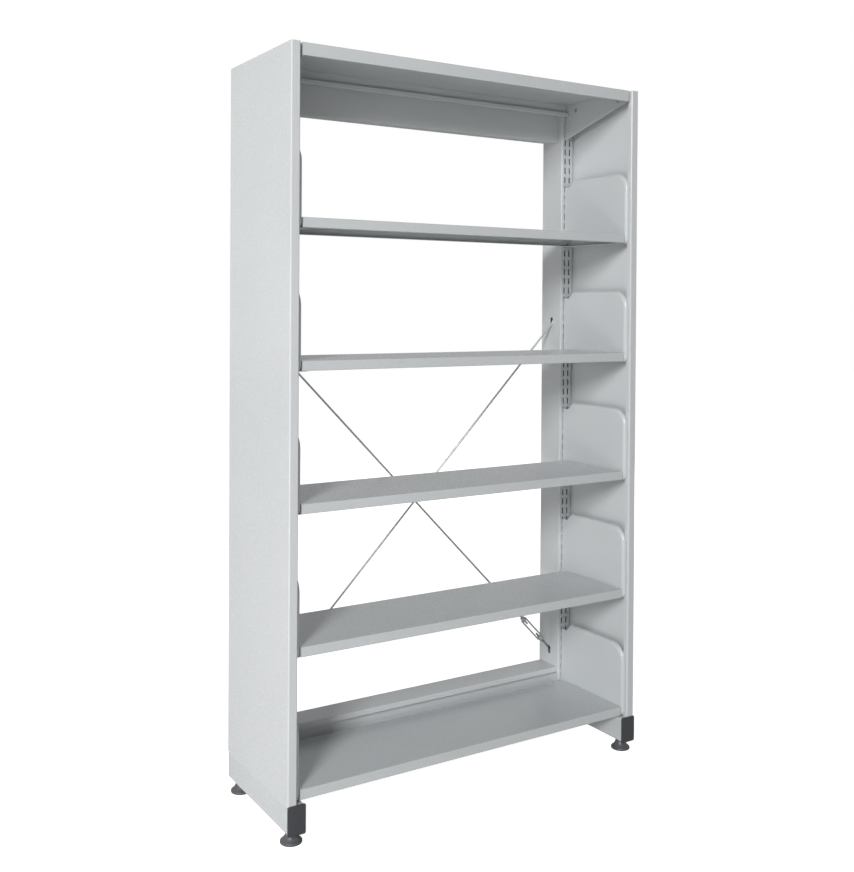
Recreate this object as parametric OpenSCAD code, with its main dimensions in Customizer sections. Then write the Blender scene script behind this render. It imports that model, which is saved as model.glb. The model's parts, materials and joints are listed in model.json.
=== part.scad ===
// Single-sided library shelving bay: two end panels on tube legs, slotted uprights,
// cross beams, brace rods with turnbuckles, a canopy, and shelves on hooked bracket pairs.
// Built from the end panels' front plane (y = 0) and the floor (z = 0), centred in x.

/* [Bay] */
// Width over the outer faces of the end panels
bay_w = 974.8; // [940:0.2:1010]
// Depth of the end panels
bay_d = 340; // [325:1:360]
// Height of the end panels' and the canopy's tops
bay_h = 1699.5; // [1690:0.5:1712]

/* [End panels] */
// Sheet thickness of the end panels
panel_t = 1.2; // [0.8:0.1:1.6]
// Width of the front flange
panel_flange = 21.4; // [19:0.1:21.6]
// Depth of the return behind the front flange
panel_return = 14; // [8:1:24]
// Width of the rear flange that lies on the post
panel_rear = 20; // [14:1:22]
// Outside radius of the panel's folds
panel_r = 3; // [2:0.2:6]
// Gap between the panel's foot and the leg
panel_gap = 0.2; // [0.2:0.1:0.8]

/* [Base legs] */
// Width of the leg tube
leg_w = 40; // [36:1:46]
// Height of the leg tube
leg_h = 60; // [50:1:70]
// How far the leg tube ends before the panel's rear
leg_short = 10; // [6:1:22]
// Wall of the leg tube
leg_t = 2; // [1.5:0.1:3]
// Outside corner radius of the leg tube
leg_r = 4; // [2.5:0.5:6]
// How far a front cap's face stands past the tube's sides
cap_over = 1.2; // [0.4:0.2:2]
// How far a front cap's face stands past the tube's top and bottom
cap_over_z = 2; // [0.5:0.5:3]
// Thickness of a leg cap's face
cap_t = 3; // [2:0.5:4]
// Length of the cap's plug inside the tube
cap_plug = 14; // [8:1:20]
// Wall of the cap's hollow plug
cap_wall = 2; // [1.5:0.5:3]

/* [Levelling feet] */
// Gap between the floor and the leg
foot_h = 27; // [22:1:34]
// Diameter of the foot pad
pad_d = 48; // [40:1:56]
// Diameter of the foot's neck
neck_d = 27; // [20:1:30]
// Height of the pad's rim
pad_rim = 5; // [4:0.5:7]
// Thread diameter of the stud
stud_d = 10; // [8:1:12]
// Distance from each end of the leg to the stud
foot_inset = 26; // [24:1:60]
// How far the foot screws out
foot_travel = 15; // [5:1:20]

/* [Uprights] */
// Width of the post
post_w = 40.6; // [36:0.1:41]
// Depth of the post
post_d = 84.6; // [76:0.2:90]
// Sheet thickness of the post
post_t = 2; // [1.5:0.1:2.6]
// Outside radius of the post's folds
post_r = 3.6; // [3:0.2:7]
// Width of the lips along the post's open side
post_lip = 12; // [8:1:20]
// Gap between the post and the end panel's skin
post_gap = 1; // [0.5:0.5:4]
// Drop from the canopy's top to the post's top
post_drop = 9.5; // [6:0.5:12]
// Pitch of the slots, one inch
slot_pitch = 25.4; // [25.4:0.1:25.8]
// Height of a slot
slot_h = 16.5; // [16:0.1:18]
// Width of a slot
slot_w = 4.6; // [3.8:0.1:5]
// Centre of the inner slot column from the post's inner side
slot_edge = 11.95; // [11:0.05:13]
// Distance between the two slot columns
slot_apart = 15; // [12:0.5:16]
// Height of the first slot above the leg
slot_first = 27.3; // [20:0.1:32]

/* [Shelves] */
// Distance from the panels' front plane to the shelves' lips
shelf_front = 10.9; // [4:0.1:30]
// Extra depth of the base shelf at its back
base_extra = 10; // [0:1:12]
// Height of a shelf's lips
lip_h = 22; // [18:1:26]
// Sheet thickness of the shelves and the canopy
sheet_t = 1; // [0.8:0.1:1.4]
// Outside radius of the folds in shelves and canopy
sheet_r = 2; // [1.6:0.2:3]
// Width of the returned hems below the lips
hem_w = 12; // [8:1:16]
// Gap between the shelf's back and the post
shelf_back_gap = 15.1; // [12:0.1:20]
// Gap between a shelf's end and its bracket
shelf_end_gap = 3; // [0.4:0.1:4]
// Slot that carries the base shelf's upper hook
base_slot = 4; // [4:1:5]

/* [Shelf brackets] */
// Sheet thickness of the brackets
plate_t = 1.5; // [1.2:0.1:2]
// Height of a bracket's top edge above the shelf
bracket_rise = 160; // [150:1:168]
// Radius of the bracket's upper front corner
bracket_arc = 45; // [30:1:60]
// Radius of the bracket's lower front corner
bracket_toe = 14; // [12:1:18]
// Depth of the step at the bracket's upper rear corner
step_h = 19.5; // [16:0.5:24]
// Length of that step before the post
step_w = 22; // [14:0.5:26]
// Run of the slant from the step up to the top edge
step_run = 18; // [12:1:26]
// How far the bracket's front stands before the shelf's lip
bracket_nose = 4.4; // [1:0.1:5]
// Gap between the rolled edge and the end panel's return
rim_gap = 0.9; // [0.5:0.1:1.5]
// Width of the flange below the shelf
seat_w = 20; // [14:1:26]
// Distance from the bracket's back to that flange's end
seat_end = 8; // [4:1:16]
// Height of the upper hook's seat above the shelf
hook_rise = 103.3; // [100:0.1:106]
// Height of a hook's neck in the slot
hook_neck = 8; // [6.5:0.5:8.5]
// How far a hook's nose reaches below its seat
hook_drop = 7; // [5:0.5:7.2]
// Thickness of a hook's nose
hook_nose = 4; // [3:0.5:6]
// Running gap between hooks, posts, shelves and brackets
fit_gap = 0.3; // [0.2:0.05:0.4]

/* [Canopy] */
// Height of the canopy's front lip
canopy_lip = 27.5; // [24:0.5:32]
// Height of the canopy's rear lip
canopy_rear = 33.5; // [28:0.5:38]
// Distance from the panels' front plane to the canopy's lip
canopy_front = 4; // [2:0.5:8]
// Gap between the canopy's back and the post
canopy_back_gap = 4.2; // [3:0.1:6]
// Width of the hem box at the canopy's rear lip
canopy_hem = 11; // [8:0.5:14]
// Height of that hem's return
canopy_return = 10; // [6:0.5:14]
// Outside radius of the canopy's front fold
canopy_r = 3; // [2:0.2:4]
// Distance from the post's face to the rear canopy screw
screw_rear = 44.2; // [36:0.2:60]
// Distance from the canopy's lip to the front canopy screw
screw_front = 38.6; // [30:0.2:60]
// Drop from the canopy's top to its screws
screw_drop = 21; // [16:0.5:22]
// Height of the canopy bracket at the post
brace_h = 97.5; // [85:0.5:110]
// Diameter of the canopy screws
screw_d = 4; // [3:0.5:5]
// Diameter of the screw heads
screw_head = 8; // [6:0.5:9]

/* [Cross beams] */
// Sheet thickness of the beams
beam_t = 1.5; // [1.2:0.1:2]
// Distance from the post's face back to the beams' webs
beam_back = 16.5; // [12:0.5:24]
// Height of the top beam
beam_h = 93; // [80:1:100]
// Depth of the top beam's flanges
beam_flange = 30; // [20:1:40]
// Radius of the top beam's lower fold
beam_roll = 7; // [4:0.5:9]
// Top of the bottom beam above the floor
sill_top = 147; // [140:1:160]
// Height of the bottom beam
sill_h = 55; // [45:1:62]
// Depth of the bottom beam's top flange
sill_d = 75.4; // [60:0.2:80]
// Overhang of the bottom beam's flange before its web
sill_nose = 13.1; // [6:1:14]
// Depth of the bottom beam's front lip
sill_lip = 13; // [8:1:18]
// Diameter of the beam screws
bolt_d = 6; // [5:0.5:8]
// Outside radius of the beams' folds
beam_r = 3; // [2.4:0.2:5]
// Width of the hem below the top beam's lower flange
beam_hem = 10; // [6:1:14]

/* [Brace rods] */
// Diameter of the rods
rod_d = 5; // [4:0.5:6]
// Height of the upper brace slot's lower end
brace_high = 1093.6; // [1040:0.1:1140]
// Height of the lower brace slot's lower end
brace_low = 174.7; // [165:0.1:190]
// Height of a brace slot
brace_slot_h = 21.5; // [19:0.5:24]
// Width of a brace slot, for two rods side by side
brace_slot_w = 11; // [10.9:0.1:14]
// Distance of the rods' plane from the post's face
brace_back = 39.8; // [30:0.1:50]
// Gap between the two rods where they cross
rod_gap = 0.4; // [0.2:0.1:0.8]
// Length of a turnbuckle
buckle_l = 100; // [70:1:110]
// Width of a turnbuckle
buckle_w = 15; // [13:0.5:18]
// Distance from the lower slot to the turnbuckle's middle
buckle_at = 89; // [76:1:200]

/* [Hidden] */
$fn = 48;
ARC_STEPS = 5;

half_w = bay_w / 2;
leg_l = bay_d - leg_short;
leg_top = foot_h + leg_h;
leg_x = half_w - leg_w / 2;
panel_z = leg_top + panel_gap;
flange_x = half_w - panel_flange;
post_x1 = half_w - panel_t - post_gap;
post_x0 = post_x1 - post_w;
post_y1 = bay_d - panel_t;
post_y = post_y1 - post_d;
post_top = bay_h - post_drop;
slot_z = leg_top + slot_first;
slot_n = floor((post_top - slot_z - slot_h - post_r) / slot_pitch) + 1;
slot_x_in = post_x0 + slot_edge;
slot_x_out = slot_x_in + slot_apart;
plate_x = slot_x_in - plate_t / 2;
rim_r = flange_x - rim_gap - plate_x;
shelf_half = plate_x - shelf_end_gap;
shelf_back = post_y - shelf_back_gap;
shelf_d = shelf_back - shelf_front;
plate_front = shelf_front - bracket_nose;
plate_back = post_y - fit_gap;
seat_z = -lip_h - fit_gap;
lug_slots = 4;
web_y = post_y + beam_back;
sill_y = web_y - sill_nose;
rod_y = post_y + brace_back;
bolt_head = 4;
bolt_af = 11;
bolt_tail = 3;
nut_h = 8;
nut_af = 17;
thread_gap = 0.05;
fold_in = 0.3 * panel_r;
mid_y = (bay_d + pan_h(screw_head) - cap_t) / 2;

// The shelves and the canopy share the height above the base shelf, at whole slots
bays = 5;
base_z = slot_z + base_slot * slot_pitch - hook_rise;
level_slots = floor((bay_h - base_z) / bays / slot_pitch);

// Top of a shelf: level 0 is the base shelf, level 4 the top shelf
function shelf_z(level) = base_z + level * level_slots * slot_pitch;
function slot_bottom(k) = slot_z + k * slot_pitch;

// Sheet profiles are paths of [x, y, outside bend radius]; the sheet lies left of the path
function way(a, b) = [b.x - a.x, b.y - a.y] / norm([b.x - a.x, b.y - a.y]);
function to_left(v) = [-v.y, v.x];
function turn(v, a) = [v.x * cos(a) - v.y * sin(a), v.x * sin(a) + v.y * cos(a)];
function turn_angle(u, v) = atan2(u.x * v.y - u.y * v.x, u * v);
function bend(p, u, v, s) =
  let (
    a = turn_angle(u, v),
    h = a > 0 ? 1 : -1,
    c = [p.x, p.y] - u * p[2] * tan(abs(a) / 2) + to_left(u) * p[2] * h,
    w = max(0.05, p[2] - s * h)
  )
  [for (i = [0 : ARC_STEPS]) c - turn(to_left(u), a * i / ARC_STEPS) * w * h];
function edge(path, s) = [
  for (i = [0 : len(path) - 1]) each (
    i == 0 ? [[path[0].x, path[0].y] + to_left(way(path[0], path[1])) * s] :
    i == len(path) - 1 ? [[path[i].x, path[i].y] + to_left(way(path[i - 1], path[i])) * s] :
    bend(path[i], way(path[i - 1], path[i]), way(path[i], path[i + 1]), s))
];
function reversed(list) = [for (i = [len(list) - 1 : -1 : 0]) list[i]];
module strip(path, t) {
  polygon(concat(edge(path, 0), reversed(edge(path, t))));
}

// Puts the bay's middle depth on y = 0
module placed() {
  translate([0, -mid_y, 0]) children();
}

// The right side is drawn; the left side is its mirror image
module side(s) {
  placed() mirror([s < 0 ? 1 : 0, 0, 0]) children();
}

// Runs a profile drawn in (y, z) along x
module along_x(x0, x1) {
  translate([x0, 0, 0]) rotate([90, 0, 90]) linear_extrude(x1 - x0) children();
}

module round_rect(w, h, r) {
  square([w - 2 * r, h], center = true);
  square([w, h - 2 * r], center = true);
  for (x = [-1, 1], y = [-1, 1]) {
    translate([x * (w / 2 - r), y * (h / 2 - r)]) circle(r);
  }
}

// A C section with its open side to the end panel, slotted through face and back
module upright(s) {
  side(s) color("#B2B5B4") difference() {
    translate([0, 0, leg_top]) linear_extrude(post_top - leg_top) strip([
      [post_x1, post_y1 - post_lip, 0],
      [post_x1, post_y1, post_r],
      [post_x0, post_y1, post_r],
      [post_x0, post_y, post_r],
      [post_x1, post_y, post_r],
      [post_x1, post_y + post_lip, 0]
    ], post_t);
    translate([0, post_y1 + 1, 0]) rotate([90, 0, 0]) linear_extrude(post_d + 2) slots();
    brace_slot(brace_high);
    brace_slot(brace_low);
    beam_bolts(bolt_d + 0.4);
    panel_bolts(screw_d + 2 * thread_gap);
  }
}

module slots() {
  for (k = [0 : slot_n - 1], x = [slot_x_in, slot_x_out]) {
    translate([x - slot_w / 2, slot_bottom(k)]) square([slot_w, slot_h]);
  }
}

module brace_slot(z) {
  slot_r = brace_slot_w / 2;
  translate([post_x0 - 1, rod_y, z]) rotate([90, 0, 90])
    linear_extrude(post_t + 2) {
      translate([-slot_r, slot_r]) square([2 * slot_r, brace_slot_h - 2 * slot_r]);
      for (h = [slot_r, brace_slot_h - slot_r]) {
        translate([0, h]) circle(slot_r);
      }
    }
}

// A folded tray: front flange and return, skin, rear flange on the post, and a folded top
module end_panel(s) {
  side(s) color("#D4D8D7") difference() {
    union() {
      translate([0, 0, panel_z]) linear_extrude(bay_h - panel_z) strip([
        [flange_x, panel_return, 0],
        [flange_x, 0, panel_r],
        [half_w, 0, panel_r],
        [half_w, bay_d, panel_r],
        [half_w - panel_rear, bay_d, 0]
      ], panel_t);
      translate([flange_x + fold_in, fold_in, bay_h - panel_t])
        cube([panel_flange - 2 * fold_in, bay_d - 2 * fold_in, panel_t]);
    }
    panel_bolts(screw_d + 0.6);
  }
}

// Screws through the rear flange into the post, between slots
module panel_bolts(d, head = 0) {
  for (k = [1, floor(slot_n / 3), floor(slot_n * 2 / 3), slot_n - 1]) {
    translate([slot_x_out + 1, bay_d, slot_bottom(k) - (slot_pitch - slot_h) / 2]) {
      rotate([90, 0, 0]) cylinder(d = d, h = panel_t + post_t + 3);
      if (head > 0) {
        rotate([-90, 0, 0]) pan_head(head);
      }
    }
  }
}

function pan_h(d) = d * 0.3;

module pan_head(d) {
  cylinder(d1 = d, d2 = d * 0.7, h = pan_h(d));
}

module panel_screws() {
  color("#A9ADAD") for (s = [-1, 1]) {
    side(s) panel_bolts(screw_d, screw_head);
  }
}

module base_leg(s) {
  side(s) color("#C9CCCB") difference() {
    translate([leg_x, leg_l, foot_h + leg_h / 2]) rotate([90, 0, 0]) linear_extrude(leg_l) difference() {
      round_rect(leg_w, leg_h, leg_r);
      round_rect(leg_w - 2 * leg_t, leg_h - 2 * leg_t, leg_r - leg_t);
    }
    for (y = [foot_inset, leg_l - foot_inset]) {
      translate([leg_x, y, foot_h - 1]) cylinder(d = stud_d + 1, h = leg_t + 2);
    }
  }
}

// The front caps' faces overlap the tube's end and the rear caps' are flush with it;
// a hollow plug on each is a push fit inside the tube
module leg_cap(s, front) {
  side(s) color("#44464A") translate([leg_x, front ? 0 : leg_l, foot_h + leg_h / 2])
    rotate([front ? 90 : -90, 0, 0]) {
      linear_extrude(cap_t) round_rect(
        leg_w + (front ? 2 * cap_over : 0), leg_h + (front ? 2 * cap_over_z : 0), leg_r);
      translate([0, 0, -cap_plug]) linear_extrude(cap_plug) difference() {
        plug_ring(0.1);
        plug_ring(cap_wall);
      }
    }
}

module plug_ring(inset) {
  round_rect(leg_w - 2 * (leg_t + inset), leg_h - 2 * (leg_t + inset), leg_r - leg_t);
}

module at_foot(s, front) {
  side(s) translate([leg_x, front ? foot_inset : leg_l - foot_inset, 0]) children();
}

// A flared pad: rim, hollow curve up to the neck, and a socket for the stud's end
module foot_pad(s, front) {
  flare_z = foot_h - 8;
  pad_r = pad_d / 2;
  neck_r = neck_d / 2;
  at_foot(s, front) color("#44464A") rotate_extrude() polygon(concat(
    [[0, 0], [pad_r - 1, 0], [pad_r, 1], [pad_r, pad_rim - 1], [pad_r - 1, pad_rim]],
    [for (i = [1 : 7]) let (a = 90 * i / 7)
      [pad_r - 1 - (pad_r - 1 - neck_r) * sin(a), flare_z - (flare_z - pad_rim) * cos(a)]],
    [[neck_r, foot_h - fit_gap], [stud_d / 2 + thread_gap, foot_h - fit_gap]],
    [[stud_d / 2 + thread_gap, pad_rim + 2], [0, pad_rim + 2]]
  ));
}

module foot_stud(s, front) {
  at_foot(s, front) color("#A9ADAD") translate([0, 0, pad_rim + 2 + fit_gap])
    cylinder(d = stud_d, h = leg_t + nut_h + foot_h - pad_rim - 2 + foot_travel);
}

module foot_nuts() {
  color("#A9ADAD") for (s = [-1, 1], front = [false, true]) {
    at_foot(s, front) translate([0, 0, foot_h + leg_t]) difference() {
      cylinder(d = nut_af / cos(30), h = nut_h, $fn = 6);
      translate([0, 0, -1]) cylinder(d = stud_d + 2 * thread_gap, h = nut_h + 2);
    }
  }
}

// Both beams end in plates that lie on the posts' inner sides
module top_beam() {
  z1 = post_top - 1;
  z0 = z1 - beam_h;
  placed() color("#B6BABA") difference() {
    union() {
      along_x(-post_x0, post_x0) strip([
        [web_y + beam_flange, z1, 0],
        [web_y, z1, beam_r],
        [web_y, z0, beam_roll],
        [web_y + beam_flange, z0, beam_r],
        [web_y + beam_flange, z0 + beam_hem, 0]
      ], beam_t);
      for (x = [-post_x0, post_x0 - beam_t]) {
        translate([x, web_y + beam_t / 2, z0 + beam_roll])
          cube([beam_t, beam_flange - beam_t, beam_h - beam_roll - beam_t / 2]);
      }
    }
    for (s = [0, 1]) {
      mirror([s, 0, 0]) beam_bolts(bolt_d + 2 * thread_gap);
    }
  }
}

module bottom_beam() {
  z0 = sill_top - sill_h;
  back = sill_y + sill_d;
  placed() color("#B6BABA") difference() {
    union() {
      along_x(-post_x0, post_x0) strip([
        [web_y, sill_top - beam_t / 2, 0],
        [web_y, z0, beam_r],
        [web_y + 2 * sill_lip, z0, 0]
      ], beam_t);
      along_x(-post_x0, post_x0) strip([
        [web_y + sill_lip, z0, 0],
        [back, z0, beam_r],
        [back, sill_top, beam_r],
        [sill_y, sill_top, beam_r],
        [sill_y, sill_top - sill_lip, 0]
      ], beam_t);
      for (x = [-post_x0, post_x0 - beam_t]) {
        translate([x, web_y + beam_t / 2, z0 + beam_t / 2])
          cube([beam_t, back - web_y - beam_t, sill_h - beam_t]);
      }
    }
    for (s = [0, 1]) {
      mirror([s, 0, 0]) beam_bolts(bolt_d + 2 * thread_gap);
    }
  }
}

// Two screws at each beam end, put in from inside the post
module beam_bolts(d, head = 0) {
  top_z = post_top - 1 - beam_h / 2;
  low_z = sill_top - sill_h / 2;
  for (p = [
    [web_y + beam_flange / 2, top_z - beam_h / 4],
    [web_y + beam_flange / 2, top_z + beam_h / 4],
    [web_y + beam_flange / 2, low_z],
    [sill_y + sill_d - beam_flange / 2, low_z]
  ]) {
    translate([post_x0 - beam_t - bolt_tail, p.x, p.y]) rotate([0, 90, 0]) {
      cylinder(d = d, h = beam_t + bolt_tail + post_t);
      if (head > 0) {
        translate([0, 0, beam_t + bolt_tail + post_t]) cylinder(d = head, h = bolt_head, $fn = 6);
      }
    }
  }
}

module beam_screws() {
  color("#A9ADAD") for (s = [-1, 1]) {
    side(s) beam_bolts(bolt_d, bolt_af);
  }
}

// A shelf is a tray open below, with hems on its long lips and lips at its ends
module shelf_tray(level, depth, back) {
  z = shelf_z(level);
  placed() color("#B9BDBC") {
    along_x(-shelf_half, shelf_half) translate([back, z]) strip([
      [-hem_w, -lip_h, 0],
      [0, -lip_h, sheet_r],
      [0, 0, sheet_r],
      [-depth, 0, sheet_r],
      [-depth, -lip_h, sheet_r],
      [hem_w - depth, -lip_h, 0]
    ], sheet_t);
    for (x = [-shelf_half, shelf_half - sheet_t]) {
      translate([x, back - depth + sheet_r, z - lip_h + sheet_t / 2])
        cube([sheet_t, depth - 2 * sheet_r, lip_h - sheet_t]);
    }
  }
}

module base_shelf() {
  shelf_tray(0, shelf_d + base_extra, shelf_back + base_extra);
}

module shelf(level) {
  shelf_tray(level, shelf_d, shelf_back);
}

// Section of the rolled edge: a quarter round from the plate out to its free end
module roll() {
  intersection() {
    difference() {
      circle(rim_r);
      circle(rim_r - plate_t);
    }
    translate([0, -rim_r]) square(rim_r);
  }
}

module plate_shape(foot) {
  front = plate_front + rim_r;
  corner = [plate_front + bracket_arc, bracket_rise - bracket_arc];
  toe = [plate_front + bracket_toe, foot + bracket_toe];
  translate([toe.x, foot]) square([plate_back - toe.x, bracket_toe]);
  translate([front, toe.y]) square([plate_back - front, corner.y - toe.y]);
  translate([corner.x, toe.y]) square([plate_back - corner.x, bracket_rise - rim_r - toe.y]);
  translate(corner) circle(bracket_arc - rim_r);
  translate(toe) circle(bracket_toe - rim_r);
}

// The roll runs along the top, round the corner, down the front and round the toe
module rolled_edge(foot) {
  translate([0, plate_front + bracket_arc, 0]) {
    translate([0, 0, bracket_rise - rim_r]) rotate([0, -90, -90])
      linear_extrude(plate_back - plate_front - bracket_arc) roll();
    translate([0, 0, bracket_rise - bracket_arc]) rotate([0, 90, 0]) rotate([0, 0, 180])
      rotate_extrude(angle = 90) translate([bracket_arc - rim_r, 0]) roll();
  }
  translate([0, 0, foot + bracket_toe]) {
    translate([0, plate_front + rim_r, 0]) rotate([0, 0, -90])
      linear_extrude(bracket_rise - bracket_arc - foot - bracket_toe) roll();
    translate([0, plate_front + bracket_toe, 0]) rotate([0, 90, 0]) rotate([0, 0, 270])
      rotate_extrude(angle = 90) translate([bracket_toe - rim_r, 0]) roll();
  }
}

module shelf_bracket(s, level) {
  foot = seat_z - plate_t;
  toe_y = plate_front + bracket_toe;
  side(s) color("#B9BCBB") translate([0, 0, shelf_z(level)]) {
    difference() {
      union() {
        along_x(plate_x, plate_x + plate_t) plate_shape(foot);
        translate([plate_x + rim_r, 0, 0]) rolled_edge(foot, $fn = 24);
      }
      along_x(plate_x - 1, plate_x + rim_r + 1) polygon([
        [plate_back - step_w - step_run, bracket_rise],
        [plate_back - step_w, bracket_rise - step_h],
        [plate_back + 1, bracket_rise - step_h],
        [plate_back + 1, bracket_rise + 1],
        [plate_back - step_w - step_run, bracket_rise + 1]
      ]);
    }
    along_x(plate_x, plate_x + plate_t) {
      hook(hook_rise);
      hook(hook_rise - slot_pitch);
      lug(hook_rise - lug_slots * slot_pitch);
    }
    translate([plate_x + plate_t - seat_w, toe_y, foot])
      cube([seat_w, plate_back - toe_y - seat_end, plate_t]);
  }
}

// A hook's neck seats on the slot's lower end and its nose hangs behind the post's face
module hook(seat) {
  inside = post_y + post_t + fit_gap;
  cut = hook_nose / 4;
  polygon([
    [plate_back - plate_t, seat + fit_gap],
    [inside, seat + fit_gap],
    [inside, seat - hook_drop],
    [inside + hook_nose - cut, seat - hook_drop],
    [inside + hook_nose, seat - hook_drop + cut],
    [inside + hook_nose, seat + hook_neck - 2 * cut],
    [inside + hook_nose - 2 * cut, seat + hook_neck],
    [plate_back - plate_t, seat + hook_neck]
  ]);
}

module lug(seat) {
  translate([plate_back - plate_t, seat + fit_gap])
    square([plate_t + fit_gap + post_t + hook_nose / 2, hook_neck - fit_gap]);
}

// The canopy's top and front lip cover its brackets; hems and rear lip fit between them
module canopy() {
  half = plate_x + plate_t + fit_gap + sheet_t;
  back = post_y - canopy_back_gap;
  inner = plate_x - fit_gap;
  placed() color("#C2C6C6") difference() {
    union() {
      along_x(-half, half) strip([
        [back - sheet_r, bay_h, 0],
        [canopy_front, bay_h, canopy_r],
        [canopy_front, bay_h - canopy_lip, 0]
      ], sheet_t);
      along_x(-inner, inner) strip([
        [canopy_front, bay_h - canopy_lip / 2, 0],
        [canopy_front, bay_h - canopy_lip, sheet_r],
        [canopy_front + hem_w, bay_h - canopy_lip, 0]
      ], sheet_t);
      along_x(-inner, inner) strip([
        [back - canopy_hem, bay_h - canopy_rear + canopy_return, 0],
        [back - canopy_hem, bay_h - canopy_rear, sheet_r],
        [back, bay_h - canopy_rear, sheet_r],
        [back, bay_h, sheet_r],
        [back - canopy_hem, bay_h, 0]
      ], sheet_t);
      for (x = [-half, half - sheet_t]) {
        translate([x, canopy_front + canopy_r, bay_h - canopy_lip])
          cube([sheet_t, back - canopy_front - canopy_r, canopy_lip - sheet_t / 2]);
      }
    }
    for (s = [0, 1]) {
      mirror([s, 0, 0]) canopy_bolts(screw_d + 2 * thread_gap);
    }
  }
}

module canopy_bracket(s) {
  top = bay_h - sheet_t - fit_gap;
  tip = canopy_front + 2 * sheet_t;
  low = bay_h - brace_h;
  cut = 3 * sheet_t;
  side(s) color("#BDC0BF") difference() {
    along_x(plate_x, plate_x + plate_t) {
      polygon([
        [tip, bay_h - canopy_lip],
        [plate_back, low],
        [plate_back, top - 2 * cut],
        [plate_back - 2 * cut, top],
        [tip + cut, top],
        [tip, top - cut]
      ]);
      for (k = [slot_n - 1, slot_n - 3]) {
        hook(slot_bottom(k));
      }
    }
    canopy_bolts(screw_d + 0.4);
  }
}

module canopy_bolts(d, head = 0) {
  for (y = [post_y - screw_rear, canopy_front + screw_front]) {
    translate([plate_x - 0.01, y, bay_h - screw_drop]) rotate([0, 90, 0]) {
      cylinder(d = d, h = plate_t + fit_gap + sheet_t + 2);
      if (head > 0) {
        rotate([180, 0, 0]) pan_head(head);
      }
    }
  }
}

module canopy_screws() {
  color("#B59A55") for (s = [-1, 1]) {
    side(s) canopy_bolts(screw_d, screw_head);
  }
}

// A brace runs from the upper slot of one post to the lower slot of the other
rod_r = rod_d / 2;
rod_play = 2.2;
rod_high = brace_high + rod_r + rod_play;
rod_low = brace_low + brace_slot_h - rod_r - rod_play;
rod_run = 2 * post_x0;
rod_rise = rod_high - rod_low;
rod_len = norm([rod_run, rod_rise]);
rod_tilt = atan2(rod_rise, rod_run);
tail_in = 4;
tail_l = 24;
tail_d = rod_d - 0.6;
rod_in = (post_t + tail_in) / cos(rod_tilt);
stub = 22;
boss_l = 11;
bar_d = 4;

// Draws along +x from the lower slot's centre, up towards the other post;
// the two rods pass each other, one a little before and one behind their plane
module on_brace(s) {
  placed() mirror([s < 0 ? 1 : 0, 0, 0])
    translate([post_x0, rod_y + s * (rod_d + rod_gap) / 2, rod_low])
      rotate([0, 180 + rod_tilt, 0]) children();
}

module rod_between(a, b) {
  translate([a, 0, 0]) rotate([0, 90, 0]) cylinder(d = rod_d, h = b - a);
}

// The end inside a post turns back along the wall to catch behind it
module rod_hook() {
  translate([rod_in, 0, 0]) rotate([0, -rod_tilt, 0])
    translate([0, 0, -1]) cylinder(d = tail_d, h = tail_l);
}

module brace_rod_lower(s) {
  color("#8E9393") on_brace(s) {
    rod_between(-rod_in - rod_r, buckle_at - buckle_l / 2 + stub);
    rotate([0, 180, 0]) rod_hook();
  }
}

module brace_rod_upper(s) {
  color("#8E9393") on_brace(s) {
    rod_between(buckle_at + buckle_l / 2 - stub, rod_len + rod_in + rod_r);
    translate([rod_len, 0, 0]) rod_hook();
  }
}

// An open frame of two bars with a threaded boss at each end
module turnbuckle(s) {
  color("#A3A8A8") on_brace(s) translate([buckle_at, 0, 0]) rotate([0, 90, 0]) difference() {
    union() {
      for (z = [-buckle_l / 2, buckle_l / 2 - boss_l]) {
        translate([0, 0, z]) cylinder(d = buckle_w - bar_d, h = boss_l);
      }
      for (x = [-1, 1]) {
        translate([x * (buckle_w - bar_d) / 2, 0, (boss_l - bar_d - buckle_l) / 2]) {
          cylinder(d = bar_d, h = buckle_l - boss_l + bar_d);
        }
      }
    }
    translate([0, 0, -buckle_l]) cylinder(d = rod_d + 2 * thread_gap, h = 2 * buckle_l);
  }
}

upright(-1);  // upright_left
upright(1);  // upright_right
end_panel(-1);  // end_panel_left
end_panel(1);  // end_panel_right
base_leg(-1);  // base_leg_left
base_leg(1);  // base_leg_right
leg_cap(-1, true);  // leg_cap_front_left
leg_cap(1, true);  // leg_cap_front_right
leg_cap(-1, false);  // leg_cap_rear_left
leg_cap(1, false);  // leg_cap_rear_right
foot_pad(-1, true);  // foot_pad_front_left
foot_pad(1, true);  // foot_pad_front_right
foot_pad(-1, false);  // foot_pad_rear_left
foot_pad(1, false);  // foot_pad_rear_right
foot_stud(-1, true);  // foot_stud_front_left
foot_stud(1, true);  // foot_stud_front_right
foot_stud(-1, false);  // foot_stud_rear_left
foot_stud(1, false);  // foot_stud_rear_right
foot_nuts();
panel_screws();
beam_screws();
top_beam();
bottom_beam();
canopy();
canopy_bracket(-1);  // canopy_bracket_left
canopy_bracket(1);  // canopy_bracket_right
canopy_screws();
brace_rod_upper(1);  // brace_rod_a_upper
brace_rod_lower(1);  // brace_rod_a_lower
turnbuckle(1);  // turnbuckle_a
brace_rod_upper(-1);  // brace_rod_b_upper
brace_rod_lower(-1);  // brace_rod_b_lower
turnbuckle(-1);  // turnbuckle_b
base_shelf();
shelf(1);  // shelf_1
shelf(2);  // shelf_2
shelf(3);  // shelf_3
shelf(4);  // shelf_4
shelf_bracket(-1, 0);  // base_bracket_left
shelf_bracket(1, 0);  // base_bracket_right
shelf_bracket(-1, 1);  // bracket_1_left
shelf_bracket(1, 1);  // bracket_1_right
shelf_bracket(-1, 2);  // bracket_2_left
shelf_bracket(1, 2);  // bracket_2_right
shelf_bracket(-1, 3);  // bracket_3_left
shelf_bracket(1, 3);  // bracket_3_right
shelf_bracket(-1, 4);  // bracket_4_left
shelf_bracket(1, 4);  // bracket_4_right
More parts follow.
